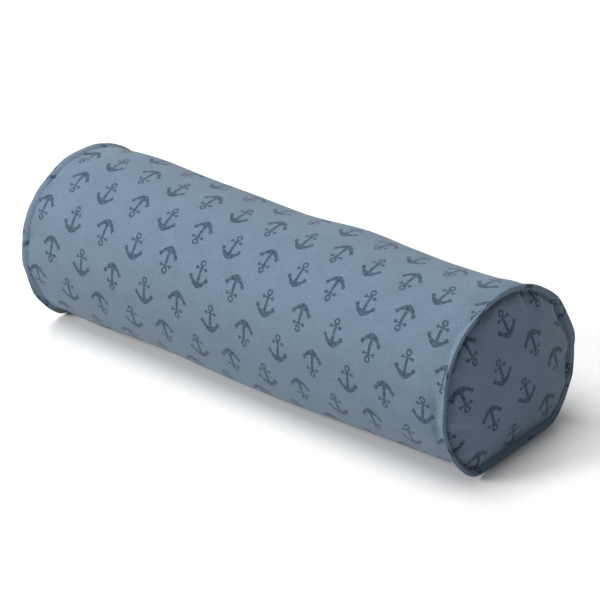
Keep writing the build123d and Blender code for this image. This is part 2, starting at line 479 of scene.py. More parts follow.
def makeCotton(name, start, skew, turn, across=1.0):
    material, n, shader = newMaterial(name)
    uv = n.add("ShaderNodeUVMap", uv_map="cloth").outputs[0]
    place = n.add("ShaderNodeMapping", {
        "Vector": uv, "Rotation": (0, 0, math.radians(turn)), "Scale": (across, 1, 1)}).outputs[0]
    anchors = n.add("ShaderNodeGroup", node_tree=anchorGroup)
    for key, value in (("Vector", place), ("Step", printedCotton["step"]), ("Row", printedCotton["row"]),
                       ("Start X", start[0]), ("Start Y", start[1]), ("Skew", skew),
                       ("Edge", 0.35), ("Wear", 0.9)):
        n.feed(anchors.inputs[key], value)
    weave = n.add("ShaderNodeGroup", node_tree=weaveGroup)
    for key, value in (("Vector", place), ("Threads", printedCotton["threads"]), ("Slub", 0.6),
                       ("Grain", printedCotton["grain"])):
        n.feed(weave.inputs[key], value)
    colour = n.blendColour(anchors.outputs["Ink"], printedCotton["ground"], printedCotton["ink"])
    colour = n.blendColour(n.times(weave.outputs["Fleck"], 0.55), colour, printedCotton["fleck"])
    # scaled by the weave's Shade: painted shade in the weave's dips, with random yarn tone
    shaded = n.add("ShaderNodeVectorMath", {0: colour, "Scale": weave.outputs["Shade"]}, operation="SCALE")
    n.feed(shader.inputs["Base Color"], shaded.outputs[0])
    n.feed(shader.inputs["Roughness"], n.spread(anchors.outputs["Ink"], 0.0, 1.0, 0.88, 0.8))
    n.bump(shader, weave.outputs["Height"], 0.55, 0.00012)
    shader.inputs["Sheen Weight"].default_value = 0.10
    shader.inputs["Sheen Roughness"].default_value = 0.5
    shader.inputs["Specular IOR Level"].default_value = 0.16
    return material


bodyCotton = makeCotton("bodyCotton", printedCotton["bodyStart"], printedCotton["bodySkew"], 0.0)
discCotton = makeCotton("discCotton", printedCotton["discStart"], 0.0, printedCotton["discTurn"], -1.0)
print("cotton made")


# ---- the stuffed cover, by cloth simulation ----

stuffing = {
    "around": 120,            # cells round the bolster, a multiple of four
    "along": 110,
    "endCrowding": 0.6,       # how much finer the cells are towards the ends
    "pressure": 4.0,
    "stiffness": 40.0,
    "bending": 0.6,
    "gather": 0.035,          # how much the end seams are drawn in
    "steps": 20,
    "endDome": 0.90,          # how much of the ends' bulge stays
}


def sectionAt(turn, radius):
    # point of the resting cross-section, pressed flat underneath
    height = axisHeight + radius * np.sin(turn)
    return radius * np.cos(turn), liftedFloor(height, bolster["floorGap"], bolster["underSoft"])


def stations():
    t = np.linspace(-1, 1, stuffing["along"] + 1)
    k = stuffing["endCrowding"]
    return halfLength * ((1 - k) * t + k * np.sin(t * math.pi / 2))


def discToSquare(radius, turn):
    # where a disc's point lies in the square grid that covers the disc
    turn = np.mod(turn + math.pi / 4, 2 * math.pi) - math.pi / 4
    quarter = np.floor((turn + math.pi / 4) / (math.pi / 2)).astype(int)
    slide = radius * (turn - quarter * math.pi / 2) / (math.pi / 4)
    first = np.choose(quarter, [radius, -slide, -radius, slide])
    second = np.choose(quarter, [slide, radius, -slide, -radius])
    return first, second


def squareToDisc(first, second):
    wide = np.abs(first) > np.abs(second)
    radius = np.where(wide, np.abs(first), np.abs(second))
    safeFirst = np.where(np.abs(first) < 1e-9, 1e-9, first)
    safeSecond = np.where(np.abs(second) < 1e-9, 1e-9, second)
    turn = np.where(wide, math.pi / 4 * second / safeFirst + np.where(first < 0, math.pi, 0),
                    math.pi / 2 - math.pi / 4 * first / safeSecond + np.where(second < 0, math.pi, 0))
    return radius, turn


def discCells():
    # each cell point's radius and turn, the tube column it meets at the rim, and whether it is on the rim
    around = stuffing["around"]
    ticks = np.linspace(-1, 1, around // 4 + 1)
    radius, turn = squareToDisc(*np.meshgrid(ticks, ticks, indexing="ij"))
    column = np.mod(np.round((turn - zipTurn) / (2 * math.pi / around)), around).astype(int)
    return radius, turn, column, radius > 1 - 1e-6


def restCover():
    # tube rows, then the inner points of the left and right discs; the rims share the tube's end rows
    around, quarter = stuffing["around"], stuffing["around"] // 4
    turns = zipTurn + 2 * math.pi * np.arange(around) / around
    y, z = sectionAt(turns, bolster["radius"])
    rows = stations()
    tube = np.stack(np.broadcast_arrays(rows[:, None], y[None], z[None]), -1)
    points = [tube.reshape(-1, 3)]
    count = tube.shape[0] * around
    faces = tubeFaces(len(rows), around)
    radius, turn, column, edge = discCells()
    rimY, rimZ = sectionAt(turn, bolster["radius"])
    discY, discZ = radius * rimY, axisHeight + radius * (rimZ - axisHeight)
    discs = []
    for end, row in ((-1, 0), (1, len(rows) - 1)):
        numbers = np.where(edge, row * around + column, -1)
        inner = np.argwhere(~edge)
        numbers[tuple(inner.T)] = count + np.arange(len(inner))
        place = np.stack([np.full(len(inner), end * halfLength), discY[~edge], discZ[~edge]], -1)
        points.append(place)
        count += len(inner)
        for i in range(quarter):
            for j in range(quarter):
                quad = (numbers[i, j], numbers[i + 1, j], numbers[i + 1, j + 1], numbers[i, j + 1])
                faces.append(quad if end > 0 else quad[::-1])
        discs.append(numbers)
    return np.concatenate(points), faces, discs


def stuffCover():
    points, faces, discs = restCover()
    around, rows = stuffing["around"], stuffing["along"] + 1
    shell = meshObject("stuffedShell", points, faces)
    pinned = shell.vertex_groups.new(name="pinned")
    low = np.nonzero(points[:, 2] < 0.004)[0]
    pinned.add([int(k) for k in low], 1.0, "REPLACE")
    seam = shell.vertex_groups.new(name="seam")
    rings = [*range(around), *range((rows - 1) * around, rows * around)]
    seam.add(rings, 1.0, "REPLACE")
    cloth = shell.modifiers.new("cloth", "CLOTH")
    settings = cloth.settings
    settings.quality = 5
    settings.mass = 0.2
    settings.tension_stiffness = stuffing["stiffness"]
    settings.compression_stiffness = stuffing["stiffness"]
    settings.shear_stiffness = stuffing["stiffness"] / 3
    settings.bending_stiffness = stuffing["bending"]
    settings.air_damping = 3.0
    settings.use_pressure = True
    settings.uniform_pressure_force = stuffing["pressure"]
    settings.effector_weights.gravity = 0
    settings.vertex_group_mass = "pinned"
    settings.vertex_group_shrink = "seam"
    settings.shrink_min = 0.0
    settings.shrink_max = stuffing["gather"]
    cloth.point_cache.frame_start = 1
    cloth.point_cache.frame_end = stuffing["steps"]
    scene = bpy.context.scene
    for step in range(1, stuffing["steps"] + 1):
        scene.frame_set(step)
    bakeModifiers(shell)
    flat = np.empty(len(points) * 3)
    shell.data.vertices.foreach_get("co", flat)
    moved = flat.reshape(-1, 3) - points
    reach = np.linalg.norm(moved, axis=1, keepdims=True)
    points = points + moved * np.minimum(1, 0.022 / np.maximum(reach, 1e-9))
    bpy.data.objects.remove(shell)
    scene.frame_set(1)
    print("cloth moved at most %.1f mm" % (reach.max() * 1000))
    body = points[: rows * around].reshape(rows, around, 3)
    return body, [points[numbers] for numbers in discs]


# Soft swellings of the stuffing: x, degrees round from the back, length, spread in degrees, height.
lumps = [
    (-0.190, 62, 0.048, 34, 0.0028),
    (-0.020, 60, 0.040, 30, -0.0020),
    (0.062, 58, 0.034, 30, 0.0024),
    (0.150, 60, 0.026, 30, -0.0008),
    (0.228, 64, 0.020, 34, 0.0034),
    (0.030, 222, 0.085, 30, 0.0018),
    (-0.105, 228, 0.040, 28, -0.0014),
    (-0.195, 225, 0.030, 26, 0.0010),
    (-0.120, 140, 0.070, 40, 0.0014),
    (0.020, 120, 0.050, 34, -0.0012),
    (0.140, 150, 0.055, 36, 0.0012),
    (0.000, 230, 0.300, 26, 0.0020),
    (-0.240, 92, 0.030, 36, -0.0030),
    (0.2325, 183, 0.0034, 19, -0.0018),
    (0.2360, 120, 0.0030, 12, -0.0009),
    (-0.060, -20, 0.110, 26, 0.0012),
    (0.120, -24, 0.070, 24, 0.0016),
]
# Short dents where the ends' gathers run into the body: end, degrees, reach, spread in degrees, depth.
creases = [
    (1, 96, 0.030, 5, 0.0016),
    (1, 131, 0.022, 4, 0.0013),
    (1, 172, 0.034, 7, 0.0022),
    (1, 188, 0.020, 4, 0.0016),
    (1, 207, 0.026, 5, 0.0013),
    (1, 62, 0.024, 4, 0.0012),
    (1, -22, 0.024, 5, 0.0014),
    (-1, 84, 0.028, 5, 0.0014),
    (-1, 118, 0.020, 4, 0.0012),
    (-1, 158, 0.030, 6, 0.0016),
    (-1, 196, 0.024, 5, 0.0014),
    (-1, 40, 0.022, 4, 0.0012),
    (-1, -14, 0.022, 5, 0.0013),
]


def shapeCover(body, discs):
    # fills the simulated cover out to its size, adds the lumps, and keeps the zip's bed true
    around = stuffing["around"]
    turns = zipTurn + 2 * math.pi * np.arange(around) / around
    degrees = np.degrees(turns)
    rows = stations()
    centre = np.array([0, axisHeight])
    for step in range(2):
        body = (np.roll(body, 1, 1) + 2 * body + np.roll(body, -1, 1)) / 4
    offset = body[..., 1:] - centre
    upper = (turns > 0.4) & (turns < 3.6)
    drawnIn = 0.0010 * smoothStep(np.abs(rows), 0.215, halfLength)
    wanted = bolster["radius"] - bolster["slack"] - drawnIn
    size = wanted / np.linalg.norm(offset, axis=-1)[:, upper].mean(axis=1)
    stretch = (halfLength - np.abs(body[[0, -1], :, 0]).mean(axis=1)).mean()
    body[..., 1:] = centre + offset * size[:, None, None]
    body[..., 0] += (np.sign(rows) * smoothStep(np.abs(rows), 0.19, halfLength) * stretch)[:, None]
    outward = np.stack([np.cos(turns), np.sin(turns)], -1)
    rise = np.zeros(body.shape[:2])
    for x, degree, reach, spread, height in lumps:
        away = (degrees - degree + 180) % 360 - 180
        rise += height * np.outer(np.exp(-((rows - x) / reach) ** 2), np.exp(-(away / spread) ** 2))
    for end, degree, reach, spread, depth in creases:
        away = (degrees - degree + 180) % 360 - 180
        inward = (halfLength - end * rows) / reach
        fade = np.exp(-inward) * smoothStep(inward * reach, 0.001, 0.009)
        rise -= 1.6 * depth * np.outer(fade, np.exp(-(away / spread) ** 2))
    body[..., 1:] += outward * rise[..., None]
    arc = np.abs((degrees - bolster["zipAngle"] + 180) % 360 - 180) / 360 * roundLength
    flat = np.outer(1 - smoothStep(np.abs(rows), 0.212, 0.236), 1 - smoothStep(arc, 0.012, 0.042))
    exact = np.stack(np.broadcast_arrays(
        rows[:, None], centre[0] + bolster["radius"] * outward[None, :, 0],
        centre[1] + bolster["radius"] * outward[None, :, 1]), -1)
    body += (exact - body) * flat[..., None]
    lift = np.where(rows < 0, *bolster["endLift"])
    ends = lift * smoothStep(np.abs(rows), 0.19, halfLength)
    height = liftedFloor(body[..., 2], ends[:, None] - 0.001, 0.006)
    body[..., 2] = height - 0.0021 * np.exp(-height / 0.02)
    tuck = np.where(rows < 0, *bolster["endTuck"]) * smoothStep(np.abs(rows), 0.19, halfLength)
    body[..., 0] -= (np.sign(rows) * tuck)[:, None] * smoothStep(axisHeight - height, 0.0, 0.06)
    radius, turn, column, edge = discCells()
    shaped = []
    for end, row, disc in zip((-1, 1), (0, -1), discs):
        disc = disc.copy()
        disc[..., 1:] = centre + (disc[..., 1:] - centre) * size[row]
        ring = body[row][column]
        near = smoothStep(radius, 0.55, 1.0)[..., None]
        rimShift = ring[edge] - disc[edge]
        shift = np.zeros_like(disc)
        for axis in range(3):
            fullCircle = np.zeros(around)
            fullCircle[column[edge]] = rimShift[:, axis]
            shift[..., axis] = fullCircle[column]
        level = end * halfLength
        disc[..., 0] = level + (disc[..., 0] + shift[..., 0] * near[..., 0] - level) * stuffing["endDome"]
        disc[..., 1:] += shift[..., 1:] * near
        disc[edge] = ring[edge]
        disc[..., 2] = np.maximum(disc[..., 2], 0.0015)
        shaped.append(disc)
    return body, shaped


bodyGrid, discGrids = shapeCover(*stuffCover())
print("stuffed cover ready, disc centres at %.4f and %.4f" % tuple(d[15, 15, 0] for d in discGrids))


# ---- the cover's cloth pieces ----

cover = {
    "columns": 240,
    "midRows": 104,
    "endRows": 22,
    "slotReach": 0.2,         # half the zip opening's length
    "slotHalf": 0.006,
    "footInset": 0.003,       # from the seam's middle to where the body panel turns up
}
fin = {
    # inset from the seam's middle and height above the end ring, for one leaf, foot first
    "leaf": [(0.0019, 0.0004), (0.0012, 0.0011), (0.0009, 0.0018), (0.0012, 0.0026), (0.0015, 0.0035),
             (0.0016, 0.0045), (0.0013, 0.0053), (0.0007, 0.0058), (0.00015, 0.0059)],
    "tall": 0.88,             # how much of that height the cut edge keeps
    "stitchHeight": 0.0018,
    "grooveDepth": 0.0021,    # the valley inside the fin
    "grooveWidth": 0.0019,
}
# How far each end's fin leans outward: degrees round, lean in degrees; read between by a smooth curve.
finLeans = {
    1: [(-45, 2), (0, -12), (40, -14), (70, 12), (95, 46), (120, 50), (150, 52), (175, 64), (200, 58),
        (225, 40), (250, 40), (290, 26)],
    -1: [(-45, 40), (0, 36), (40, 70), (70, 98), (100, 110), (140, 108), (178, 100), (208, 50), (235, 36),
         (280, 32)],
}


def arcsAcross():
    # arc lengths of the final columns from the zip, with columns exactly on the slot's edges
    half = cover["columns"] // 2
    count = np.arange(-half, half + 1)
    step = (roundLength / 2 - cover["slotHalf"]) / (half - 3)
    far = np.sign(count) * (cover["slotHalf"] + (np.abs(count) - 3) * step)
    arcs = np.where(np.abs(count) <= 3, count * cover["slotHalf"] / 3, far)
    return np.concatenate([arcs[half:], arcs[1: half + 1] + roundLength])


def xStations():
    middle = np.linspace(-cover["slotReach"], cover["slotReach"], cover["midRows"] + 1)
    foot = halfLength - cover["footInset"]
    end = np.linspace(cover["slotReach"], foot, cover["endRows"] + 1)[1:]
    return np.concatenate([-end[::-1], middle, end])


def leansAt(end, degrees):
    knots = np.array(finLeans[end], float)
    at = np.concatenate([knots[:, 0] - 360, knots[:, 0], knots[:, 0] + 360])
    value = np.tile(knots[:, 1], 3)
    lean = np.interp(np.arange(-60, 420, 2), at, value)
    lean = np.convolve(lean, np.ones(9) / 9, mode="same")
    wobble = 6 * np.sin(np.radians(degrees * 7 + 40 * end)) + 4 * np.sin(np.radians(degrees * 13 + 90))
    back = (degrees + 30) % 360 - 30
    return np.interp(back, np.arange(-60, 420, 2), lean) + wobble


def ringAt(end, arcs):
    row = bodyGrid[-1 if end > 0 else 0]
    at = arcs / roundLength * stuffing["around"]
    return sampleRows(row, at, wrap=True)


def finFrame(end, arcs):
    # for each column: the seam's foot and, for each height, the middle of the fin and its outward side
    ring = ringAt(end, arcs)
    ahead, behind = ringAt(end, arcs + 0.002), ringAt(end, arcs - 0.002)
    along = unit(ahead - behind)
    axis = np.array([end, 0.0, 0.0])
    outward = unit(np.cross(along, [1.0, 0.0, 0.0]))
    outward *= np.sign((outward[:, 1:] * (ring[:, 1:] - (0, axisHeight))).sum(1))[:, None]
    degrees = np.degrees(arcs / bolster["radius"]) + bolster["zipAngle"]
    lean = np.radians(leansAt(end, degrees))
    room = np.clip((ring[:, 2] - 0.0013) / (0.0052 * np.maximum(-outward[:, 2], 1e-6)), -1, 1)
    lean = np.maximum(lean, np.where(outward[:, 2] < -0.1, np.arccos(room), 0))
    wide = np.concatenate([lean[-5:-1], lean, lean[1:5]])
    lean = np.convolve(wide, np.ones(9) / 9, mode="valid")
    heights = np.array([0.0] + [h for inset, h in fin["leaf"]])
    tall = fin["tall"] + 0.05 * np.sin(np.radians(degrees * 5)) + 0.04 * np.sin(np.radians(degrees * 11 + 50))
    place, middles, sides = ring.copy(), [], []
    before = 0.0
    for height in heights:
        angle = (lean * smoothStep(height, 0.0, 0.0022))[:, None]
        upright = outward * np.cos(angle) + axis * np.sin(angle)
        place = place + upright * (height - before) * tall[:, None]
        before = height
        middles.append(place)
        sides.append(axis * np.cos(angle) - outward * np.sin(angle))
    middles, sides = np.array(middles), np.array(sides)
    middles[..., 2] = liftedFloor(middles[..., 2], 0.0016, 0.0006)
    return ring, outward, middles, sides


def buildBodyPanel():
    arcs, xs = arcsAcross(), xStations()
    columns = len(arcs)
    grid = sampleRows(bodyGrid, np.interp(xs, stations(), np.arange(len(stations()))))
    grid = np.moveaxis(grid, 1, 0)
    grid = sampleRows(grid, arcs / roundLength * stuffing["around"], wrap=True)
    grid = np.moveaxis(grid, 1, 0)
    turns = zipTurn + arcs / bolster["radius"]
    outward = np.stack([np.zeros(columns), np.cos(turns), np.sin(turns)], -1)
    fromZip = np.minimum(arcs, roundLength - arcs)
    crease = np.exp(-(fromZip / 0.0016) ** 2) * 0.0007
    openRow = (np.abs(xs) < cover["slotReach"] + 0.0005)[:, None]
    roll = np.exp(-((fromZip - 0.0075) / 0.0016) ** 2) * 0.0004
    grid = grid + outward * (np.where(openRow, roll[None], roll[None] * 0.4 - crease[None])[..., None])
    points, uv = [], []
    leftLeaf, rightLeaf = [], []
    for end, leaf in ((-1, leftLeaf), (1, rightLeaf)):
        ring, up, middles, sides = finFrame(end, arcs)
        foot = halfLength - cover["footInset"]
        walked = foot
        last = (cover["footInset"], 0.0)
        for k, (inset, height) in enumerate(fin["leaf"]):
            walked += math.hypot(inset - last[0], height - last[1])
            last = (inset, height)
            leaf.append((middles[k + 1] - sides[k + 1] * inset, end * walked))
    for place, u in reversed(leftLeaf):
        points.append(place)
        uv.append(np.stack([np.full(columns, u), arcs], -1))
    first = len(points)
    for place, x in zip(grid, xs):
        points.append(place)
        uv.append(np.stack([np.full(columns, x), arcs], -1))
    for place, u in rightLeaf:
        points.append(place)
        uv.append(np.stack([np.full(columns, u), arcs], -1))
    points, uv = np.array(points), np.array(uv)
    low = first + cover["endRows"]
    high = low + cover["midRows"]

    def inSlot(i, j):
        return low <= i < high and (j < 3 or j >= columns - 4)

    faces = gridFaces(len(points), columns, inSlot)
    flatPoints, flatUv = points.reshape(-1, 3), uv.reshape(-1, 2)
    # the hem folded under along both edges of the opening
    extra, extraUv, count = [], [], len(flatPoints)
    for column, sign in ((3, 1), (columns - 4, -1)):
        previous = [i * columns + column for i in range(low, high + 1)]
        edge, up = points[low: high + 1, column], outward[column]
        across = np.cross([1.0, 0.0, 0.0], up) * sign
        for step, (drop, shift) in enumerate(((0.0007, -0.0004), (0.0014, 0.0002), (0.0015, 0.0030))):
            line = edge - up * drop + across * shift
            extra.append(line)
            extraUv.append(np.stack([xs[np.abs(xs) < cover["slotReach"] + 1e-6], np.full(
                len(line), arcs[column] - sign * 0.001 * (step + 1))], -1))
            numbers = [count + k for k in range(len(line))]
            count += len(line)
            for a in range(len(line) - 1):
                quad = (previous[a], previous[a + 1], numbers[a + 1], numbers[a])
                faces.append(quad if sign > 0 else quad[::-1])
            previous = numbers
    allPoints = np.concatenate([flatPoints, *extra])
    allUv = np.concatenate([flatUv, *extraUv])
    return meshObject("coverBody", allPoints, faces, bodyCotton, allUv), grid, xs, arcs


def thicken(piece, depth):
    solid = piece.modifiers.new("thickness", "SOLIDIFY")
    solid.thickness = depth
    solid.offset = -1
    solid.use_even_offset = False
    return bakeModifiers(piece)


def buildDisc(end):
    grid = discGrids[0 if end < 0 else 1]
    arcs = np.arange(cover["columns"]) / cover["columns"] * roundLength
    turns = zipTurn + arcs / bolster["radius"]
    ring, up, middles, sides = finFrame(end, np.append(arcs, roundLength))
    ring, up, middles, sides = ring[:-1], up[:-1], middles[:, :-1], sides[:, :-1]
    rows = []
    for k in range(len(fin["leaf"]) - 1, -1, -1):
        inset, height = fin["leaf"][k]
        # the last foot point dips straight into the groove
        inset = min(inset, 0.0013) if k < 2 else inset
        rows.append(middles[k + 1] + sides[k + 1] * inset)
    half = (len(grid) - 1) / 2
    inward = [0.0010, 0.0020, 0.0030, 0.0040, 0.0052, 0.0068, 0.0086, 0.0108, 0.0134, 0.0165, 0.020, 0.0242,
              0.0288, 0.0338, 0.0392, 0.0448, 0.0506, 0.0565, 0.0624, 0.0680, 0.0730]
    for distance in inward:
        radius = 1 - distance / bolster["radius"]
        first, second = discToSquare(radius, turns)
        place = samplePoints(grid, (first + 1) * half, (second + 1) * half)
        if distance < 0.02:
            # the ring itself is exact near the rim
            lean = smoothStep(distance, 0.02, 0.0)
            rimFirst, rimSecond = discToSquare(1.0, turns)
            rim = samplePoints(grid, (rimFirst + 1) * half, (rimSecond + 1) * half)
            place = place + (ring - rim) * lean
        valley = fin["grooveDepth"] * math.exp(-((distance - 0.0016) / fin["grooveWidth"]) ** 2)
        place[:, 0] -= end * valley
        rows.append(place)
    points = np.concatenate([np.array(rows).reshape(-1, 3), grid[int(half), int(half)][None]])
    columns = cover["columns"]
    faces = [quad if end > 0 else quad[::-1] for quad in tubeFaces(len(rows), columns)]
    last, middle = (len(rows) - 1) * columns, len(points) - 1
    for j in range(columns):
        triangle = (last + j, last + (j + 1) % columns, middle)
        faces.append(triangle if end > 0 else triangle[::-1])
    uv = points[:, 1:] - (0, axisHeight)
    uv[:, 0] *= end
    # the fin's leaf carries on outward from the disc instead of doubling back
    leafRows = len(fin["leaf"])
    base = uv[leafRows * columns: (leafRows + 1) * columns].copy()
    flatOut = unit(base)
    for k in range(leafRows):
        reach = fin["leaf"][leafRows - 1 - k][1] + 0.001
        uv[k * columns: (k + 1) * columns] = base + flatOut * reach
    return meshObject("coverDiscRight" if end > 0 else "coverDiscLeft", points, faces, discCotton, uv)


coverBody, panelGrid, panelXs, panelArcs = buildBodyPanel()
thicken(coverBody, bolster["clothThickness"])
finishPiece(coverBody, "cushion", "printed_cotton", "cover_body")
for end, node in ((1, "cover_disc_right"), (-1, "cover_disc_left")):
    disc = thicken(buildDisc(end), bolster["clothThickness"])
    finishPiece(disc, "cushion", "printed_cotton", node)
print("cover pieces ready")


# ---- zip, threads and what is inside ----

zipPart = {
    "tapeReach": 0.208,
    "tapeRadius": 0.0738,
    "coilReach": (-0.194, 0.196),
    "coilRadius": 0.0740,     # where the coil's legs meet the tape
    "turn": 0.00135,          # from one coil turn to the next
    "stitchLine": 0.0085,     # from the zip's middle to the stitches beside the opening
    "tapeThickness": 0.0005,
    "stitchReach": 0.204,
    "tackAt": 0.202,
    "seamReach": (0.205, 0.240),    # the closed seam beyond each end of the zip
}
thread = {
    "radius": 0.00028,
    "stitch": 0.0030,
    "gap": 0.0008,
    "rise": 0.0003,
}


def buildRowTree():
    # one arched strand, repeated along a line; the line's "up" attribute says which way it faces
    tree = bpy.data.node_groups.new("strandRow", "GeometryNodeTree")
    for label, kind, direction in (
        ("Geometry", "NodeSocketGeometry", "INPUT"), ("Spacing", "NodeSocketFloat", "INPUT"),
        ("Start", "NodeSocketVector", "INPUT"), ("Middle", "NodeSocketVector", "INPUT"),
        ("End", "NodeSocketVector", "INPUT"), ("Radius", "NodeSocketFloat", "INPUT"),
        ("Steps", "NodeSocketInt", "INPUT"), ("Sides", "NodeSocketInt", "INPUT"),
        ("Unevenness", "NodeSocketFloat", "INPUT"), ("Material", "NodeSocketMaterial", "INPUT"),
        ("Geometry", "NodeSocketGeometry", "OUTPUT"),
    ):
        tree.interface.new_socket(label, in_out=direction, socket_type=kind)
    n = Nodes(tree)
    entry = n.add("NodeGroupInput").outputs
    leave = n.add("NodeGroupOutput").inputs
    line = n.add("GeometryNodeMeshToCurve", {"Mesh": entry["Geometry"]}).outputs[0]
    even = n.add("GeometryNodeResampleCurve", {"Curve": line, "Length": entry["Spacing"]}, mode="LENGTH")
    arch = n.add("GeometryNodeCurveQuadraticBezier", {
        "Resolution": entry["Steps"], "Start": entry["Start"],
        "Middle": entry["Middle"], "End": entry["End"]})
    ring = n.add("GeometryNodeCurvePrimitiveCircle", {
        "Resolution": entry["Sides"], "Radius": entry["Radius"]})
    strand = n.add("GeometryNodeCurveToMesh", {
        "Curve": arch.outputs[0], "Profile Curve": ring.outputs[0], "Fill Caps": True}).outputs[0]
    tangent = n.add("GeometryNodeInputTangent").outputs[0]
    up = n.add("GeometryNodeInputNamedAttribute", {"Name": "up"}, data_type="FLOAT_VECTOR").outputs[0]
    along = n.add("FunctionNodeAlignRotationToVector", {"Vector": tangent}, axis="X").outputs[0]
    facing = n.add("FunctionNodeAlignRotationToVector", {"Rotation": along, "Vector": up},
                   axis="Z", pivot_axis="X")
    size = n.add("FunctionNodeRandomValue", data_type="FLOAT")
    n.feed(size.inputs[2], n.minus(1.0, entry["Unevenness"]))
    n.feed(size.inputs[3], n.plus(1.0, entry["Unevenness"]))
    placed = n.add("GeometryNodeInstanceOnPoints", {
        "Points": even.outputs[0], "Instance": strand,
        "Rotation": facing.outputs[0], "Scale": size.outputs[1]}).outputs[0]
    real = n.add("GeometryNodeRealizeInstances", {"Geometry": placed}).outputs[0]
    smooth = n.add("GeometryNodeSetShadeSmooth", {"Geometry": real}).outputs[0]
    coloured = n.add("GeometryNodeSetMaterial", {"Geometry": smooth, "Material": entry["Material"]})
    n.feed(leave["Geometry"], coloured.outputs[0])
    return tree


rowTree = buildRowTree()


def strandRow(name, lines, spacing, arch, radius, material, steps=6, sides=6, unevenness=0.06):
    # lines: (points, ups) pairs, each an open line
    mesh = bpy.data.meshes.new(name)
    points, ups, edges = [], [], []
    for place, up in lines:
        start = len(points)
        points += [tuple(p) for p in place]
        ups += [tuple(u) for u in np.broadcast_to(up, np.shape(place))]
        edges += [(k, k + 1) for k in range(start, len(points) - 1)]
    mesh.from_pydata(points, edges, [])
    facing = mesh.attributes.new("up", "FLOAT_VECTOR", "POINT")
    facing.data.foreach_set("vector", np.array(ups, dtype=np.float32).ravel())
    piece = bpy.data.objects.new(name, mesh)
    bpy.context.collection.objects.link(piece)
    modifier = piece.modifiers.new("strands", "NODES")
    modifier.node_group = rowTree
    start, middle, end = arch
    values = {"Spacing": spacing, "Start": start, "Middle": middle, "End": end, "Radius": radius,
              "Steps": steps, "Sides": sides, "Unevenness": unevenness, "Material": material}
    for item in rowTree.interface.items_tree:
        if item.in_out == "INPUT" and item.name in values:
            modifier[item.identifier] = values[item.name]
    return bakeModifiers(piece)


def stitchRow(name, lines, material, scale=1.0):
    half = thread["stitch"] / 2 * scale
    arch = ((-half, 0, -0.0003), (0, 0, thread["rise"] * 2), (half, 0, -0.0003))
    return strandRow(name, lines, half * 2 + thread["gap"], arch, thread["radius"], material)


def makeThread(name, colour, rough=0.55):
    # twisted sewing thread, read along the strands in object space
    material, n, shader = newMaterial(name)
    place = n.add("ShaderNodeTexCoord").outputs["Object"]
    twist = n.add("ShaderNodeTexWave", {"Vector": place, "Scale": 900.0, "Distortion": 1.5},
                  bands_direction="DIAGONAL")
    fuzz = n.noise(place, 2600.0)
    # the twist's grooves are painted darker: painted shade between the plies
    dark = tuple(c * 0.62 for c in colour[:3]) + (1,)
    n.feed(shader.inputs["Base Color"], n.blendColour(twist.outputs["Fac"], dark, colour))
    n.feed(shader.inputs["Roughness"], n.spread(fuzz, 0.3, 0.7, rough, rough + 0.2))
    n.bump(shader, twist.outputs["Fac"], 0.4, 0.00008)
    shader.inputs["Sheen Weight"].default_value = 0.2
    return material


def makeWoven(name, colour, threads, slub, rough, sheen, bumpHeight=0.0001, across=1.0):
    # any plain unprinted cloth, from the same weave as the cover
    material, n, shader = newMaterial(name)
    uv = n.add("ShaderNodeUVMap", uv_map="cloth").outputs[0]
    place = n.add("ShaderNodeMapping", {"Vector": uv, "Scale": (across, 1, 1)}).outputs[0]
    weave = n.add("ShaderNodeGroup", {"Vector": place, "Threads": threads, "Slub": slub},
                  node_tree=weaveGroup)
    # scaled by the weave's Shade: painted shade in the weave's dips, with random yarn tone
    shaded = n.add("ShaderNodeVectorMath", {0: colour[:3], "Scale": weave.outputs["Shade"]},
                   operation="SCALE")
    n.feed(shader.inputs["Base Color"], shaded.outputs[0])
    n.feed(shader.inputs["Roughness"],
           n.spread(weave.outputs["Height"], 0.0, 1.4, rough + 0.06, rough - 0.04))
    n.bump(shader, weave.outputs["Height"], 0.6, bumpHeight)
    shader.inputs["Sheen Weight"].default_value = sheen
    shader.inputs["Specular IOR Level"].default_value = 0.3
    return material


def makeNylon():
    material, n, shader = newMaterial("zipNylon")
    place = n.add("ShaderNodeTexCoord").outputs["Object"]
    mottle = n.noise(place, 700.0, 2.0)
    colour = n.blendColour(mottle, (0.040, 0.058, 0.082, 1), (0.062, 0.086, 0.118, 1))
    n.feed(shader.inputs["Base Color"], colour)
    n.feed(shader.inputs["Roughness"], n.spread(mottle, 0.3, 0.7, 0.28, 0.42))
    shader.inputs["Coat Weight"].default_value = 0.15
    return material


def makeMetal():
    # lacquered die-cast metal, rubbed paler where hands reach it
    material, n, shader = newMaterial("zipMetal")
    place = n.add("ShaderNodeTexCoord").outputs["Object"]
    cast = n.noise(place, 900.0, 3.0)
    rub = n.noise(place, 240.0, 4.0)
    worn = n.spread(rub, 0.55, 0.72, 0.0, 0.45)
    n.feed(shader.inputs["Base Color"], n.blendColour(worn, (0.36, 0.37, 0.39, 1), (0.58, 0.58, 0.57, 1)))
    n.feed(shader.inputs["Roughness"], n.spread(cast, 0.3, 0.7, 0.24, 0.40))
    n.bump(shader, cast, 0.12, 0.00006)
    shader.inputs["Metallic"].default_value = 1.0
    return material


def makeFibre():
    material, n, shader = newMaterial("polyesterFibre")
    place = n.add("ShaderNodeTexCoord").outputs["Object"]
    strands = n.noise(place, 260.0, 5.0, 1.6)
    n.feed(shader.inputs["Base Color"], n.blendColour(strands, (0.72, 0.72, 0.70, 1), (0.90, 0.90, 0.88, 1)))
    n.bump(shader, strands, 0.9, 0.001)
    shader.inputs["Roughness"].default_value = 0.95
    shader.inputs["Sheen Weight"].default_value = 0.4
    return material


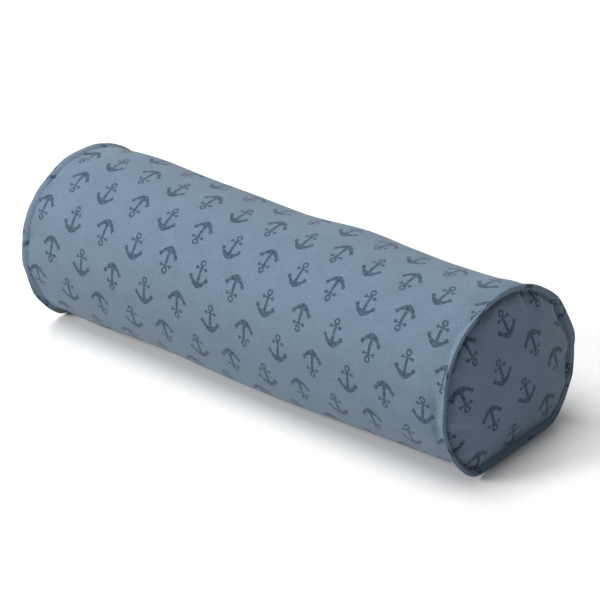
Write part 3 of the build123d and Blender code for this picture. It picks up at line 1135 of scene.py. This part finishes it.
coverThread = makeThread("coverThread", (0.165, 0.215, 0.275, 1))
casingThread = makeThread("casingThread", (0.74, 0.72, 0.66, 1))
zipTape = makeWoven("zipTape", (0.085, 0.118, 0.158), 1500.0, 0.15, 0.8, 0.1, across=0.55)
casingCloth = makeWoven("casingCloth", (0.72, 0.69, 0.62), 1500.0, 0.9, 0.9, 0.15)
labelSatin = makeWoven("labelSatin", (0.80, 0.80, 0.78), 4200.0, 0.1, 0.42, 0.0,
                       bumpHeight=0.00003, across=0.3)
zipNylon, zipMetal, polyesterFibre = makeNylon(), makeMetal(), makeFibre()


def zipPoint(x, arc, radius):
    turn = zipTurn + np.asarray(arc) / bolster["radius"]
    x, turn, radius = np.broadcast_arrays(x, turn, radius)
    return np.stack([x, radius * np.cos(turn), axisHeight + radius * np.sin(turn)], -1)


def zipUp(arc=0.0):
    turn = zipTurn + arc / bolster["radius"]
    return np.array([0.0, math.cos(turn), math.sin(turn)])


def panelLine(arc, start, end, lift=0.0001):
    # a line along the cover's outside at one distance from the zip's middle
    xs = np.linspace(start, end, max(2, int(abs(end - start) / 0.002)))
    column = np.interp(arc % roundLength, panelArcs, np.arange(len(panelArcs)))
    line = sampleRows(np.moveaxis(panelGrid, 1, 0), np.array([column]))[0]
    place = sampleRows(line, np.interp(xs, panelXs, np.arange(len(panelXs))))
    return place + zipUp(arc) * lift, zipUp(arc)


def addZipTape(side, node):
    xs = np.linspace(-zipPart["tapeReach"], zipPart["tapeReach"], 140)
    arcs = side * np.linspace(0.0004, 0.014, 10)
    ripple = 0.00012 * np.sin(xs * 260)[:, None] * smoothStep(np.abs(arcs), 0.002, 0.006)[None]
    points = zipPoint(xs[:, None], arcs[None], zipPart["tapeRadius"] + ripple)
    uv = np.stack(np.broadcast_arrays(xs[:, None], arcs[None]), -1)
    faces = gridFaces(len(xs), len(arcs), flip=side < 0)
    tape = meshObject("zipTape" + ("Upper" if side > 0 else "Lower"), points.reshape(-1, 3), faces,
                      zipTape, uv.reshape(-1, 2))
    finishPiece(thicken(tape, zipPart["tapeThickness"]), "cushion", "zip_tape", node)


def addCoil(side, node):
    start, end = zipPart["coilReach"]
    xs = np.arange(start + (0.25 if side > 0 else 0.75) * zipPart["turn"], end, 0.02)
    line = zipPoint(np.append(xs, end), 0.0, zipPart["coilRadius"])
    arch = ((0, side * 0.0031, 0.0001), (0, side * 0.0016, 0.0028), (0, side * -0.00055, 0.0004))
    coil = strandRow("zipCoil" + ("Upper" if side > 0 else "Lower"), [(line, zipUp())], zipPart["turn"],
                     arch, 0.00036, zipNylon, steps=8, sides=6, unevenness=0.0)
    finishPiece(coil, "cushion", "zip_nylon", node)


def cadCopy(node, name, material, bevel):
    source = bpy.data.objects[node]
    mesh = source.data.copy()
    shape = bmesh.new()
    shape.from_mesh(mesh)
    shape.transform(source.matrix_world)
    bmesh.ops.remove_doubles(shape, verts=shape.verts, dist=1e-6)
    bmesh.ops.dissolve_limit(shape, angle_limit=math.radians(2), verts=shape.verts, edges=shape.edges)
    bmesh.ops.recalc_face_normals(shape, faces=shape.faces)
    shape.to_mesh(mesh)
    shape.free()
    mesh.materials.clear()
    mesh.materials.append(material)
    piece = bpy.data.objects.new(name, mesh)
    bpy.context.collection.objects.link(piece)
    round_ = piece.modifiers.new("edges", "BEVEL")
    round_.width = bevel
    round_.segments = 2
    round_.limit_method = "ANGLE"
    round_.angle_limit = math.radians(35)
    round_.use_clamp_overlap = True
    bakeModifiers(piece)
    piece.data.polygons.foreach_set("use_smooth", [True] * len(piece.data.polygons))
    piece.data.set_sharp_from_angle(angle=math.radians(40))
    return piece


def addZip():
    addZipTape(1, "zip_tape_upper")
    addZipTape(-1, "zip_tape_lower")
    addCoil(1, "zip_coil_upper")
    addCoil(-1, "zip_coil_lower")
    for node, name, body, bevel in (
        ("zip_top_stops", "zipTopStops", "cushion", 0.00025),
        ("zip_bottom_stop", "zipBottomStop", "cushion", 0.0003),
        ("zip_slider", "zipSlider", "slider", 0.0004),
        ("zip_pull", "zipPull", "pull", 0.00035),
    ):
        finishPiece(cadCopy(node, name, zipMetal, bevel), body, "zip_metal", node)
    reach = zipPart["stitchReach"]
    lines = [panelLine(side * zipPart["stitchLine"], -reach, reach) for side in (1, -1)]
    finishPiece(stitchRow("zipStitches", lines, coverThread), "cushion", "cover_thread", "zip_stitching")
    tacks = []
    for x in (-zipPart["tackAt"], zipPart["tackAt"]):
        arcs = np.linspace(-zipPart["stitchLine"], zipPart["stitchLine"], 24)
        points = np.array([panelLine(a, x, x + 0.0001)[0][0] for a in arcs])
        tacks.append((points, np.array([zipUp(a) for a in arcs])))
    arch = ((0, -0.0011, -0.0002), (0, 0, 0.0007), (0, 0.0011, -0.0002))
    finishPiece(strandRow("zipBarTacks", tacks, 0.0005, arch, thread["radius"], coverThread),
                "cushion", "cover_thread", "zip_bar_tacks")
    near, far = zipPart["seamReach"]
    seams = [panelLine(0.0, near, far, -0.0001), panelLine(0.0, -far, -near, -0.0001)]
    finishPiece(stitchRow("bodySeamStitches", seams, coverThread, 0.8), "cushion", "cover_thread",
                "body_seam_stitching")


def addEndStitches(end, node):
    arcs = np.linspace(0, roundLength, cover["columns"] + 1)
    ring, up, middles, sides = finFrame(end, arcs)
    row = [h for inset, h in fin["leaf"]].index(fin["stitchHeight"]) + 1
    inset = fin["leaf"][row - 1][0]
    lines = []
    for face in (1, -1):
        facing = sides[row] * face
        place = middles[row] + facing * (inset + 0.0001)
        lines.append((place, facing))
    name = "endStitches" + ("Right" if end > 0 else "Left")
    finishPiece(stitchRow(name, lines, coverThread), "cushion", "cover_thread", node)


# The casing's cloth, and how far each inner layer lies inside the cover and how far its ends do.
layers = {
    "cloth": 0.0005,
    "casing": (0.0034, 0.0036),
    "fibre": (0.0044, 0.0046),
}


def innerGrids(depth, endDepth):
    picked = np.linspace(0, len(bodyGrid) - 1, 64).round().astype(int)
    tube = bodyGrid[picked]
    centre = np.array([0, axisHeight])
    offset = tube[..., 1:] - centre
    length = np.linalg.norm(offset, axis=-1, keepdims=True)
    tube = tube.copy()
    tube[..., 1:] = centre + offset * (1 - depth / length)
    tube[..., 0] *= 1 - endDepth / halfLength
    discs = []
    for end, disc in zip((-1, 1), discGrids):
        disc = disc.copy()
        offset = disc[..., 1:] - centre
        disc[..., 1:] = centre + offset * (1 - depth / bolster["radius"])
        disc[..., 0] -= end * endDepth
        discs.append(disc)
    radius, turn, column, edge = discCells()
    for row, disc in zip((0, -1), discs):
        disc[edge] = tube[row][column[edge]]
    return tube, discs


def addInner():
    tube, discs = innerGrids(*layers["casing"])
    rows, around = tube.shape[:2]
    arcs = np.arange(around) / around * roundLength
    uv = np.stack([tube[..., 0], np.broadcast_to(arcs, tube.shape[:2])], -1).reshape(-1, 2)
    casing = meshObject("innerCasingBody", tube.reshape(-1, 3), tubeFaces(rows, around), casingCloth, uv)
    thicken(casing, layers["cloth"])
    finishPiece(casing, "cushion", "casing_cloth", "inner_casing_body")
    side = discs[0].shape[0]
    for end, disc, name in zip((-1, 1), discs, ("Left", "Right")):
        uv = disc[..., 1:].reshape(-1, 2) - (0, axisHeight)
        cap = meshObject("innerCasingDisc" + name, disc.reshape(-1, 3),
                         gridFaces(side, side, flip=end > 0), casingCloth, uv)
        finishPiece(thicken(cap, layers["cloth"]), "cushion", "casing_cloth",
                              "inner_casing_disc_" + name.lower())
    seams = []
    for row in (1, rows - 2):
        ring = tube[row]
        outward = unit((ring - ring.mean(axis=0)) * (0, 1, 1))
        loop = np.concatenate([ring, ring[:1]])
        ups = np.concatenate([outward, outward[:1]])
        seams.append((loop + ups * 0.0002, ups))
    back = tube[2: rows - 2, 60]
    outward = unit(back - (0, 0, axisHeight)) * (0, 1, 1)
    seams.append((back + unit(outward) * 0.0002, unit(outward)))
    finishPiece(stitchRow("innerCasingStitches", seams, casingThread), "cushion", "casing_thread",
                "inner_casing_stitching")
    tube, discs = innerGrids(*layers["fibre"])
    points, faces = [tube.reshape(-1, 3)], tubeFaces(rows, around)
    count = rows * around
    for end, disc in zip((-1, 1), discs):
        points.append(disc.reshape(-1, 3))
        faces += gridFaces(side, side, flip=end > 0, start=count)
        count += side * side
    fibre = meshObject("fibreFill", np.concatenate(points), faces, polyesterFibre)
    shape = bmesh.new()
    shape.from_mesh(fibre.data)
    bmesh.ops.remove_doubles(shape, verts=shape.verts, dist=1e-5)
    bmesh.ops.recalc_face_normals(shape, faces=shape.faces)
    shape.to_mesh(fibre.data)
    shape.free()
    finishPiece(fibre, "cushion", "polyester_fibre", "fibre_fill")


careLabel = {
    "along": (0.213, 0.237),
    "round": (-0.040, 0.0),
    "radius": 0.0737,
    "thickness": 0.0002,
}


def addLabel():
    # satin care label, folded flat inside the cover beside the zip
    xs = np.linspace(*careLabel["along"], 9)
    arcs = np.linspace(*careLabel["round"], 21)
    wave = 0.0003 * np.sin(np.linspace(0, 5, len(arcs)))
    points = zipPoint(xs[:, None], arcs[None], (careLabel["radius"] - bolster["slack"] + wave)[None])
    uv = np.stack(np.broadcast_arrays(xs[:, None], arcs[None]), -1).reshape(-1, 2)
    label = meshObject("careLabel", points.reshape(-1, 3), gridFaces(len(xs), len(arcs)), labelSatin, uv)
    thicken(label, careLabel["thickness"])
    finishPiece(label, "cushion", "label_satin", "care_label")


addZip()
addEndStitches(1, "end_stitching_right")
addEndStitches(-1, "end_stitching_left")
print("zip and stitches ready")
addInner()
addLabel()
print("inner cushion and label ready")
